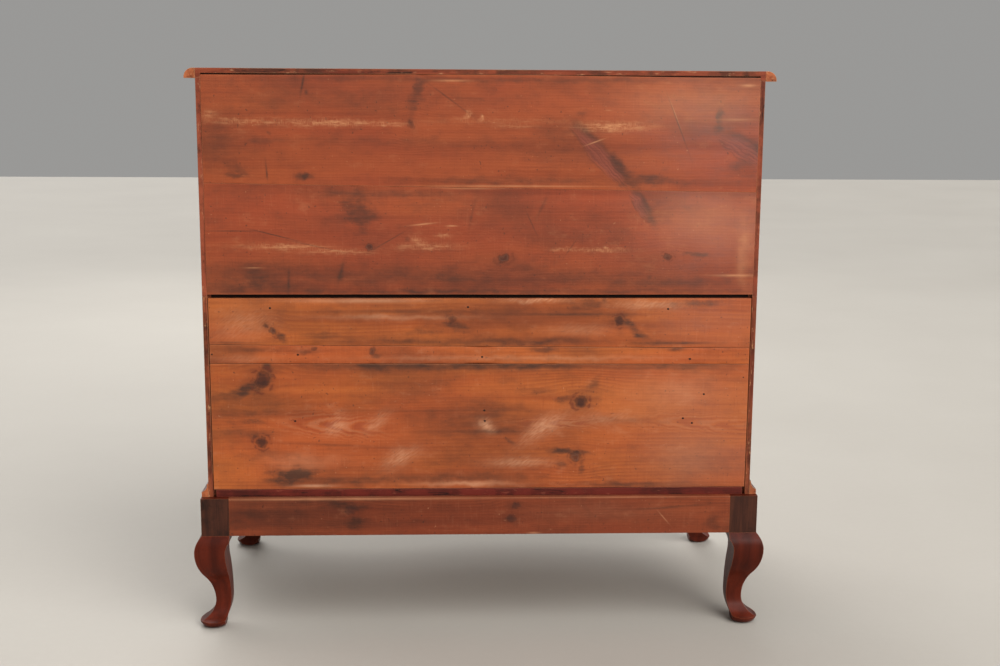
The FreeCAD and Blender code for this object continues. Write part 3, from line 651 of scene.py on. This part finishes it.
def show_rear(obj, material, beyond=case_rear, above=0.0):
    """Gives another material to the faces at the back of a piece."""
    obj.data.materials.append(material)
    for face in obj.data.polygons:
        if face.normal.y > 0.3 and face.center.y > beyond and face.center.z > above:
            face.material_index = 1


def spaced(low, high, count, rounding):
    """Places from low to high, closer together where the edges are rounded."""
    ends = [0.0, 0.3 * rounding, rounding]
    middle = [low + rounding + (high - low - 2 * rounding) * i / count for i in range(1, count)]
    return [low + e for e in ends] + middle + [high - e for e in reversed(ends)]


def bridge(bm, rings, closed=False):
    """Faces between neighbouring rings of points. Closed rings join up, and others get end faces."""
    pairs = list(zip(rings, rings[1:]))
    if closed:
        pairs.append((rings[-1], rings[0]))
    for first, second in pairs:
        for k in range(len(first)):
            m = (k + 1) % len(first)
            bm.faces.new((first[k], first[m], second[m], second[k]))
    if not closed:
        bm.faces.new(rings[0])
        bm.faces.new(rings[-1])


def worn_board(node, material, seed, crown, rounding, closing, short, foot, head):
    """A back board whose outer face is crowned, uneven and rounded along its edges.
    foot and head give the rise of its lower and upper edge at a given X."""
    columns = 150
    rows = 14
    chipped = 4 * MM  # how far the chips reach in from the edges
    low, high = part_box(node)
    low += Vector((short, 0, -closing))
    high += Vector((-short, 0, closing))
    rng = random.Random(seed)
    beats = [(rng.uniform(2, 9), rng.uniform(0, 6.28), rng.uniform(0.05, 0.25) * MM) for _ in range(6)]
    nicks = [(rng.uniform(low.x, high.x), rng.uniform(6, 30) * MM, rng.uniform(0.3, 1.4) * MM)
             for _ in range(14)]
    middle = (low.z + high.z) / 2
    half = (high.z - low.z) / 2
    bm = bmesh.new()
    grid = []
    for z in spaced(low.z, high.z, rows, rounding):
        line = []
        for x in spaced(low.x, high.x, columns, rounding):
            gap = min(x - low.x, high.x - x, z - low.z, high.z - z)
            fall = rounding - math.sqrt(max(0.0, rounding ** 2 - max(0.0, rounding - gap) ** 2))
            swell = crown * (1 - ((z - middle) / half) ** 2)
            wave = sum(size * math.sin(rate * x + start + 9 * z) for rate, start, size in beats)
            chip = sum(size * math.exp(-((x - at) / wide) ** 2) for at, wide, size in nicks)
            edge = max(0.0, 1 - gap / chipped)
            share = (z - low.z) / (high.z - low.z)
            rise = foot(x) * (1 - share) + head(x) * share
            line.append(bm.verts.new((x, high.y + swell + wave - fall - chip * edge, z + rise)))
        grid.append(line)
    for lower, upper in zip(grid, grid[1:]):
        for corners in zip(lower, lower[1:], upper[1:], upper):
            bm.faces.new(corners)
    rim = grid[0] + [r[-1] for r in grid[1:]] + grid[-1][-2::-1] + [r[0] for r in grid[-2:0:-1]]
    inner = [bm.verts.new((v.co.x, low.y, v.co.z)) for v in rim]
    for i, v in enumerate(rim):
        j = (i + 1) % len(rim)
        bm.faces.new((v, rim[j], inner[j], inner[i]))
    bm.faces.new(inner)
    return piece(node + ".worn", bm, "chest", material, [node], 50.0)


def circle(sides, start=0.0):
    """Cosine and sine of even steps round a circle."""
    turns = [2 * math.pi * (k + start) / sides for k in range(sides)]
    return [(math.cos(turn), math.sin(turn)) for turn in turns]


def sweep(bm, points, radii, sides, closed=False):
    """A round bar along points, mitred at sharp corners."""
    count = len(points)
    rings = []
    side_axis = None
    for i, spot in enumerate(points):
        before = points[i - 1] if closed or i > 0 else spot
        after = points[(i + 1) % count] if closed or i < count - 1 else spot
        ahead = (after - before).normalized()
        if side_axis is None:
            side_axis = ahead.orthogonal().normalized()
        side_axis = (side_axis - ahead * side_axis.dot(ahead)).normalized()
        up = ahead.cross(side_axis)
        corner = (after - spot).normalized() - (spot - before).normalized()
        widen = 0.0
        if corner.length > 0.3:
            widen = 1 / math.sqrt(1 - corner.length_squared / 4) - 1
            corner.normalize()
        ring = []
        for cosine, sine in circle(sides):
            out = cosine * side_axis + sine * up
            out += corner * (corner.dot(out) * widen)
            ring.append(bm.verts.new(spot + radii[i] * out))
        rings.append(ring)
    bridge(bm, rings, closed)


def lathe(bm, base, outward, profile, sides=28):
    """A turned shape. profile is (distance outward, radius) in millimetres, from back to front."""
    first = outward.orthogonal().normalized()
    second = outward.cross(first)
    rings = []
    for along, radius in profile:
        middle = base + along * MM * outward
        rings.append([bm.verts.new(middle + radius * MM * (cosine * first + sine * second))
                      for cosine, sine in circle(sides)])
    bridge(bm, rings)


def block(bm, low, high, bevel):
    """A box with rounded edges."""
    made = bmesh.ops.create_cube(bm, size=1.0)
    for v in made["verts"]:
        v.co = Vector(((low[i] + high[i]) / 2 + v.co[i] * (high[i] - low[i]) for i in range(3)))
    edges = {e for v in made["verts"] for e in v.link_edges}
    bmesh.ops.bevel(bm, geom=list(edges), offset=bevel, segments=2, profile=0.5, affect="EDGES")


# Materials of the chest
red_pine = tones((166, 80, 48), (174, 90, 50), (122, 53, 32), (76, 47, 36), (214, 150, 104))
orange_pine = tones((184, 96, 48), (194, 112, 52), (138, 64, 31), (74, 46, 34), (220, 164, 126))
rail_pine = tones((134, 60, 33), (146, 70, 37), (94, 38, 20), (54, 30, 20), (196, 136, 98))
leg_tones = tones((116, 46, 27), (80, 31, 19), (50, 21, 14), (160, 86, 54))
mahogany = tones((124, 58, 40), (84, 35, 26), (56, 24, 19), (166, 96, 64))
veneer = tones((150, 76, 46), (98, 42, 27), (62, 27, 20), (178, 108, 68))
post_tones = tones((92, 52, 36), (66, 36, 26), (46, 29, 22), (140, 92, 66))
lip_tones = tones((164, 88, 58), (120, 58, 40), (66, 48, 38), (206, 150, 110))
lower_end_tones = tones((166, 94, 60), (112, 55, 36), (58, 32, 23), (216, 160, 112))
upper_end_tones = tones((166, 92, 64), (138, 70, 48), (84, 50, 38), (212, 152, 112))
moulding_end_tones = tones((194, 124, 82), (160, 94, 60), (92, 54, 36), (226, 176, 130))
# Near-black tones: painted shade for the gap between the upper and lower case.
gap_shade_tones = tones((40, 23, 17), (30, 17, 13), (20, 12, 9), (64, 38, 27))
strip_tones = tones((124, 48, 36), (102, 39, 30), (76, 32, 25), (180, 104, 80))

X, Y, Z = range(3)  # axes that the grain follows
leg_wood = hardwood("leg_wood", Z, 3, leg_tones, 0.04, 0.55)
post_wood = bare("post_wood", Z, 5, post_tones)
lip_wood = bare("lip_wood", X, 6, lip_tones, 0.4)
end_woods = {"lower": bare("lower_end_wood", Z, 7, lower_end_tones, 0.6),
             "upper": bare("upper_end_wood", Z, 13, upper_end_tones, 0.3)}
gap_shade_wood = bare("gap_shade_wood", X, 17, gap_shade_tones)
moulding_end_wood = bare("moulding_end_wood", Y, 15, moulding_end_tones, 0.5)
strip_wood = bare("strip_wood", X, 10, strip_tones, 0.2)
moulding_wood = hardwood("moulding_wood", Y, 8, mahogany, 0.3, 0.6)
front_moulding_wood = hardwood("front_moulding_wood", X, 9, mahogany, 0.3, 0.6)
side_woods = {"lower": hardwood("lower_side_wood", Z, 14, veneer, 0.2, dull=raw_inside),
              "upper": hardwood("upper_side_wood", Z, 47, veneer, 0.2, dull=raw_inside)}
top_wood = hardwood("top_wood", X, 21, veneer, 0.2, 0.55)
rail_wood = hardwood("rail_wood", X, 25, mahogany, 0.3)
faced_wood = hardwood("faced_wood", X, 27, mahogany, 0.3, dull=faced_edge)
side_rail_wood = hardwood("side_rail_wood", Y, 29, mahogany, 0.3)
front_woods = {}
for number, drawer in enumerate(DRAWERS):
    front_low, front_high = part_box(drawer + "_front")
    front_middle = (front_low.z + front_high.z) / 2
    front_woods[drawer] = hardwood(drawer + "_veneer", X, 37 + 6 * number, veneer, 0.35, 0.35, front_middle)
bead_wood = hardwood("cock_bead_wood", X, 61, mahogany, 0.35)
drawer_side_wood = lining("drawer_side_wood", Y, 71, *tones((190, 150, 104), (150, 108, 66)))
drawer_back_wood = lining("drawer_back_wood", X, 77, *tones((186, 144, 98), (146, 104, 64)))
case_inside_wood = lining("case_inside_wood", X, 83, *tones((158, 112, 72), (112, 74, 46)))
aged_brass = brass("aged_brass")
old_iron = iron("old_iron")

# Back boards
seam_closing = 0.25 * MM
end_gap = 1.4 * MM
top_gap = 2.6 * MM
sag_start = 0.12  # distance from the middle where the topmost edge starts to hang
sag_run = 0.3  # and over which it goes on


def sagging_edge(x):
    """Under the top, the board hangs lower at its ends."""
    return -top_gap * min(1, max(0.0, (abs(x) - sag_start) / sag_run))


def slanting(middle, slope=0.0):
    """An edge that doesn't run true: its rise at the middle in millimetres, and its slope."""
    return lambda x: middle * MM + slope * x


upper_seam = slanting(-2.3, 0.014)
high_seam = slanting(-2.7, 0.008)
low_seam = slanting(-2.5, 0.003)
# Each board: its finish, crown and rounding of its outer face in millimetres, and lower and upper edge
back_boards = {
    "upper_back_upper_board": (
        pine("upper_high_pine", 2, red_pine, upper_high_marks, 6 * MM, 0.16),
        2.4, 0.5, upper_seam, sagging_edge),
    "upper_back_lower_board": (
        pine("upper_low_pine", 11, red_pine, upper_low_marks, 6.5 * MM, 0.16),
        2.2, 0.5, slanting(0.9), upper_seam),
    "lower_back_upper_board": (
        pine("lower_high_pine", 23, orange_pine, lower_high_marks, 9 * MM, 0.34),
        0.6, 0.9, high_seam, slanting(-0.9)),
    "lower_back_middle_board": (
        pine("lower_middle_pine", 37, orange_pine, lower_middle_marks, 8 * MM, 0.3),
        0.2, 0.8, low_seam, high_seam),
    "lower_back_lower_board": (
        pine("lower_low_pine", 51, orange_pine, lower_low_marks, 8 * MM, 0.4),
        1, 0.7, slanting(0.0), low_seam),
}
for number, (board, (paint, crown, rounding, foot, head)) in enumerate(back_boards.items()):
    closing, short = (seam_closing, 0.0) if board.startswith("upper") else (0.0, end_gap)
    worn_board(board, paint, 40 + number, crown * MM, rounding * MM, closing, short, foot, head)

# Stand, mouldings and case sides
for leg in ("leg_front_left", "leg_front_right", "leg_rear_left", "leg_rear_right"):
    shown = softened(leg, 0.9, leg_wood)
    if leg.startswith("leg_rear"):
        show_rear(shown, post_wood, stand_rear, leg_top)
rail_paint = pine("rail_pine", 61, rail_pine, rail_marks, 5.5 * MM, 0.4)
softened("stand_back_rail", 1.2, rail_paint)
softened("stand_front_rail", 1, rail_wood)
for side in ("left", "right"):
    softened("stand_%s_rail" % side, 1, side_rail_wood)
    for run in ("stand_moulding_", "top_moulding_"):
        show_rear(softened(run + side, 0.5, moulding_wood), moulding_end_wood)
    for level in ("lower", "upper"):
        shown = softened("%s_side_%s" % (level, side), 0.9, side_woods[level])
        show_rear(shown, end_woods[level])
softened("stand_moulding_front", 0.5, front_moulding_wood)
softened("top_moulding_front", 0.5, front_moulding_wood)

# Boards and rails of the cases
show_rear(softened("top_board", 0.7, top_wood), lip_wood)
show_rear(softened("lower_bottom_board", 0.8, case_inside_wood), strip_wood, 0.0)
for rail in ("lower_bottom_rail", "lower_divider_rail", "upper_divider_rail", "upper_frieze_rail"):
    softened(rail, 0.6, rail_wood)
# The rear edges of these two boards get a near-black finish: painted shade in the gap between the cases.
for board in ("lower_top_board", "upper_bottom_board"):
    show_rear(softened(board, 0.8, faced_wood), gap_shade_wood, 0.0)
softened("drawer_runners", 0.8, case_inside_wood)

# Drawers
for drawer in DRAWERS:
    softened(drawer + "_front", 0.6, front_woods[drawer], body=drawer)
    softened(drawer + "_sides", 0.6, drawer_side_wood, drawer)
    softened(drawer + "_back", 0.6, drawer_back_wood, drawer)
    softened(drawer + "_bottom", 0.5, drawer_back_wood, drawer)

# Brass on the drawers
outward = Vector((0, -1, 0))
front_thickness = 22 * MM
bail_bar = 2.5 * MM
post_spread = 46 * MM  # from the middle of a bail to each of its posts
stud_ball = 6  # radius of a post's ball, in millimetres
plate_half = Vector((15 * MM, 22 * MM))
plate_pin = 17.5 * MM  # from the middle of a plate to each of its pins
keyhole_rise = 3 * MM
keyhole_round = 2.9 * MM
keyhole_slot_half = 1.5 * MM
keyhole_foot = -10.5 * MM
lock_half_width = 32 * MM
lock_height = 40 * MM
lock_below_edge = 10 * MM
lock_thickness = 11 * MM
lock_proud = 3 * MM
lock_screw_x = 26 * MM
lock_screw_drops = (6 * MM, 34 * MM)
lock_drum_drop = 23 * MM
let_in = 0.3 * MM  # how far small pieces reach into what they sit on


def rounded_path(points, steps=6):
    """Points of a smooth curve through the given ones."""
    padded = [2 * points[0] - points[1]] + points + [2 * points[-1] - points[-2]]
    path = []
    for a, b, c, d in zip(padded, padded[1:], padded[2:], padded[3:]):
        for i in range(steps):
            t = i / steps
            path.append(0.5 * (2 * b + (c - a) * t + (2 * a - 5 * b + 4 * c - d) * t * t
                               + (3 * b - a - 3 * c + d) * t ** 3))
    return path + [points[-1]]


def bail_pivot(node):
    """The middle of a bail's pivot line."""
    low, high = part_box(node)
    return Vector(((low.x + high.x) / 2, (low.y + high.y) / 2, high.z - bail_bar))


def swan_neck(node):
    """A cast bail: pins, necks that curve out and in again, and a grip that swells at its middle."""
    pivot = bail_pivot(node)
    half = [(45.5, 0), (41, 0), (38, -0.2), (36.2, -1.8), (35.4, -5), (36, -10), (37.6, -15),
            (37.9, -20), (35.4, -25), (30.2, -27.6), (24.6, -28.6), (18.5, -31.2), (10, -34.6),
            (0.0, -35.8)]
    whole = half + [(-x, z) for x, z in half[-2::-1]]
    path = rounded_path([pivot + Vector((x * MM, 0, z * MM)) for x, z in whole])
    radii = []
    for spot in path:
        across = abs(spot.x - pivot.x)
        swell = 1 * MM * math.exp(-(across / (9 * MM)) ** 2)
        collar = 0.5 * MM * math.exp(-((across - 13 * MM) / (1.2 * MM)) ** 2)
        radii.append(2 * MM if across > 39.8 * MM else 2.6 * MM + swell + collar)
    bm = bmesh.new()
    sweep(bm, path, radii, 14)
    piece(node + ".cast", bm, node, aged_brass, [node])


def turned_post(bm, x, pivot):
    """A rose on the front, the neck and ball that hold a pin, and a washer, nut and bolt end inside."""
    reach = (front_y(x) - pivot.y) / MM
    profile = [(-2, 11.8), (0.9, 12), (1.6, 11.7), (2, 10.9), (1.6, 10), (1.9, 9.2), (3, 8),
               (3.7, 6.2), (4, 4.9), (4.8, 4.1), (6.5, 3.8), (8, 4.4)]
    for degrees in range(-45, 76, 15):
        turn = math.radians(degrees)
        profile.append((reach + stud_ball * math.sin(turn), stud_ball * math.cos(turn)))
    profile += [(reach + 6.1, 0.9), (reach + 6.4, 0.2)]
    lathe(bm, Vector((x, front_y(x), pivot.z)), outward, profile)
    inside = Vector((x, front_y(x) + front_thickness - 1.2 * MM, pivot.z))
    lathe(bm, inside, -outward, [(0, 7.5), (1.8, 7.5), (2, 7)], 24)
    lathe(bm, inside, -outward, [(2, 5.2), (5.2, 5.2), (5.6, 4.6)], 6)
    lathe(bm, inside, -outward, [(5.6, 2.4), (7.6, 2.4), (8.2, 1.8)], 16)


def keyhole_edge(across, rise):
    """The keyhole's edge in a direction from the middle of its round, seen from the plate's middle."""
    reach = keyhole_round
    if rise < -0.5:
        side = keyhole_slot_half / abs(across) if across else 1
        reach = max(keyhole_round, min(side, keyhole_foot / rise))
    return Vector((reach * across, reach * rise + keyhole_rise))


def on_front(x, z, out):
    return Vector((x, front_y(x) - out, z))


def keyhole_plate(bm, middle_z):
    """An oval plate bent to the front, with a raised rim and a hole in the shape of a key."""
    section = [(0.0, -0.4), (0.0, 1.1), (0.05, 1.5), (0.62, 1.6), (0.8, 1.3), (0.85, 1.9), (0.92, 2),
               (0.98, 1.2), (1, -0.4)]
    rings = []
    for share, out in section:
        ring = []
        for cosine, sine in circle(96, 0.5):
            rim = Vector((plate_half.x * cosine, plate_half.y * sine))
            spot = keyhole_edge(cosine, sine).lerp(rim, share)
            ring.append(bm.verts.new(on_front(spot.x, middle_z + spot.y, out * MM)))
        rings.append(ring)
    bridge(bm, rings, True)
    for rise in (-plate_pin, plate_pin):
        lathe(bm, on_front(0, middle_z + rise, 1.2 * MM), outward,
              [(0, 1.6), (0.7, 1.5), (1.1, 1), (1.25, 0.3)], 14)


def key_shadow(drawer, middle_z):
    """The dark of the keyhole, behind the plate."""
    bm = bmesh.new()
    edge = [keyhole_edge(cosine, sine) for cosine, sine in circle(48, 0.5)]
    bridge(bm, [[bm.verts.new(on_front(spot.x, middle_z + spot.y, out)) for spot in edge]
                for out in (-let_in, 0.25 * MM)])
    piece(drawer + "_keyhole", bm, drawer, old_iron)


def box_lock(bm, top):
    """A lock let into the back of a drawer front."""
    rear = crest_y + front_thickness + lock_proud
    block(bm, (-lock_half_width, rear - lock_thickness, top - lock_height), (lock_half_width, rear, top),
          0.7 * MM)
    for x in (-lock_screw_x, lock_screw_x):
        for drop in lock_screw_drops:
            lathe(bm, Vector((x, rear - let_in, top - drop)), -outward,
                  [(0, 3.2), (0.8, 2.9), (1.2, 1.8), (1.3, 0.4)], 16)
    lathe(bm, Vector((0, rear - let_in, top - lock_drum_drop)), -outward,
          [(0, 6.5), (1.4, 6.2), (1.8, 5.2), (1.8, 2.2), (3.2, 1.8)], 24)


def drawer_brass(drawer):
    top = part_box(drawer + "_front")[1].z - lock_below_edge
    bm = bmesh.new()
    for bail in (drawer + "_bail_left", drawer + "_bail_right"):
        pivot = bail_pivot(bail)
        swan_neck(bail)
        for post in (-post_spread, post_spread):
            turned_post(bm, pivot.x + post, pivot)
    keyhole_plate(bm, top - lock_height / 2)
    box_lock(bm, top)
    fittings = drawer + "_brass_fittings"
    piece(fittings + ".cast", bm, drawer, aged_brass, [fittings])
    key_shadow(drawer, top - lock_height / 2)


def cock_bead(drawer):
    """A half-round bead along the edges of a drawer front."""
    low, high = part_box(drawer + "_front")
    radius = 2.2 * MM
    inset = 2.1 * MM
    steps = 80
    half = high.x - inset
    xs = [half * (2 * i / steps - 1) for i in range(steps + 1)]
    loop = [on_front(x, low.z + inset, let_in) for x in xs]
    loop += [on_front(x, high.z - inset, let_in) for x in reversed(xs)]
    bm = bmesh.new()
    sweep(bm, loop, [radius] * len(loop), 10, True)
    piece(drawer + "_cock_bead", bm, drawer, bead_wood)


for drawer in DRAWERS:
    drawer_brass(drawer)
    cock_bead(drawer)

# Nails along the ends of the back boards: (x, z) in millimetres
nail_places = [(545, 1112), (546, 1065), (544, 1028), (515, 1128), (546, 760), (541, 716), (545, 880),
               (-545, 1056), (-544, 1096), (-541, 868), (-543, 742), (-512, 1121), (-539, 905), (548, 676),
               (547, 612), (-541, 652), (-544, 610), (546, 580), (-542, 578), (545, 540), (546, 430),
               (544, 318), (-540, 530), (-541, 402), (-538, 312)]


def nails():
    bm = bmesh.new()
    rng = random.Random(7)
    root = 2.4 * MM
    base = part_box("upper_back_upper_board")[1].y - root
    for x, z in nail_places:
        size = rng.uniform(1.4, 1.9)
        lathe(bm, Vector((x * MM, base, z * MM)), -outward,
              [(0, size), (2.2, size), (2.6, 0.8 * size), (2.75, 0.2 * size)], 10)
    piece("back_board_nails", bm, "chest", old_iron)


nails()

# Stage
floor_half = 14.0
sky_colour = (0.80, 0.79, 0.77, 1.0)
sky_strength = 0.40
sky_spread = math.radians(55)


def make_floor():
    bm = bmesh.new()
    bmesh.ops.create_grid(bm, x_segments=2, y_segments=2, size=floor_half)
    mesh = bpy.data.meshes.new("floor")
    bm.to_mesh(mesh)
    bm.free()
    mesh.materials.append(floor_paint())
    floor = add_object("floor", mesh)


def make_light(name, kind, place, aim, **settings):
    light = bpy.data.lights.new(name, kind)
    for setting, value in settings.items():
        setattr(light, setting, value)
    obj = add_object(name, light)
    obj.location = place
    obj.rotation_euler = (Vector(aim) - Vector(place)).to_track_quat("-Z", "Y").to_euler()


def make_camera():
    data = bpy.data.cameras.new("camera")
    data.lens = camera_lens
    camera = add_object("camera", data)
    turn = Matrix.Translation(camera_place)
    for angle, axis in ((math.pi + camera_yaw, "Z"), (math.pi / 2 - camera_pitch, "X"), (camera_roll, "Z")):
        turn @= Matrix.Rotation(angle, 4, axis)
    camera.matrix_world = turn
    bpy.context.scene.camera = camera


make_floor()
make_light("key_right", "AREA", (-2.6, 4.7, 2.4), (-0.2, 0.28, 0.75), energy=85, shape="RECTANGLE",
           size=2.2, size_y=2.2, color=(1.0, 0.96, 0.91))
make_light("front_fill", "AREA", (0.8, -4.6, 3.0), (0.0, -0.28, 0.70), energy=45, shape="RECTANGLE",
           size=2.4, size_y=1.8, color=(1.0, 0.98, 0.95))
# Wide, soft light from far away, so that the floor is evenly lit
make_light("rear_sky", "SUN", (-0.50, 0.70, 0.90), (0, 0, 0), energy=2.1, angle=sky_spread)
make_light("front_sky", "SUN", (0.40, -0.75, 0.95), (0, 0, 0), energy=1.5, angle=sky_spread)
world = bpy.data.worlds.new("studio")
world.use_nodes = True
background = world.node_tree.nodes["Background"]
background.inputs["Color"].default_value = sky_colour
background.inputs["Strength"].default_value = sky_strength
bpy.context.scene.world = world
bpy.context.scene.view_settings.view_transform = "Standard"
make_camera()
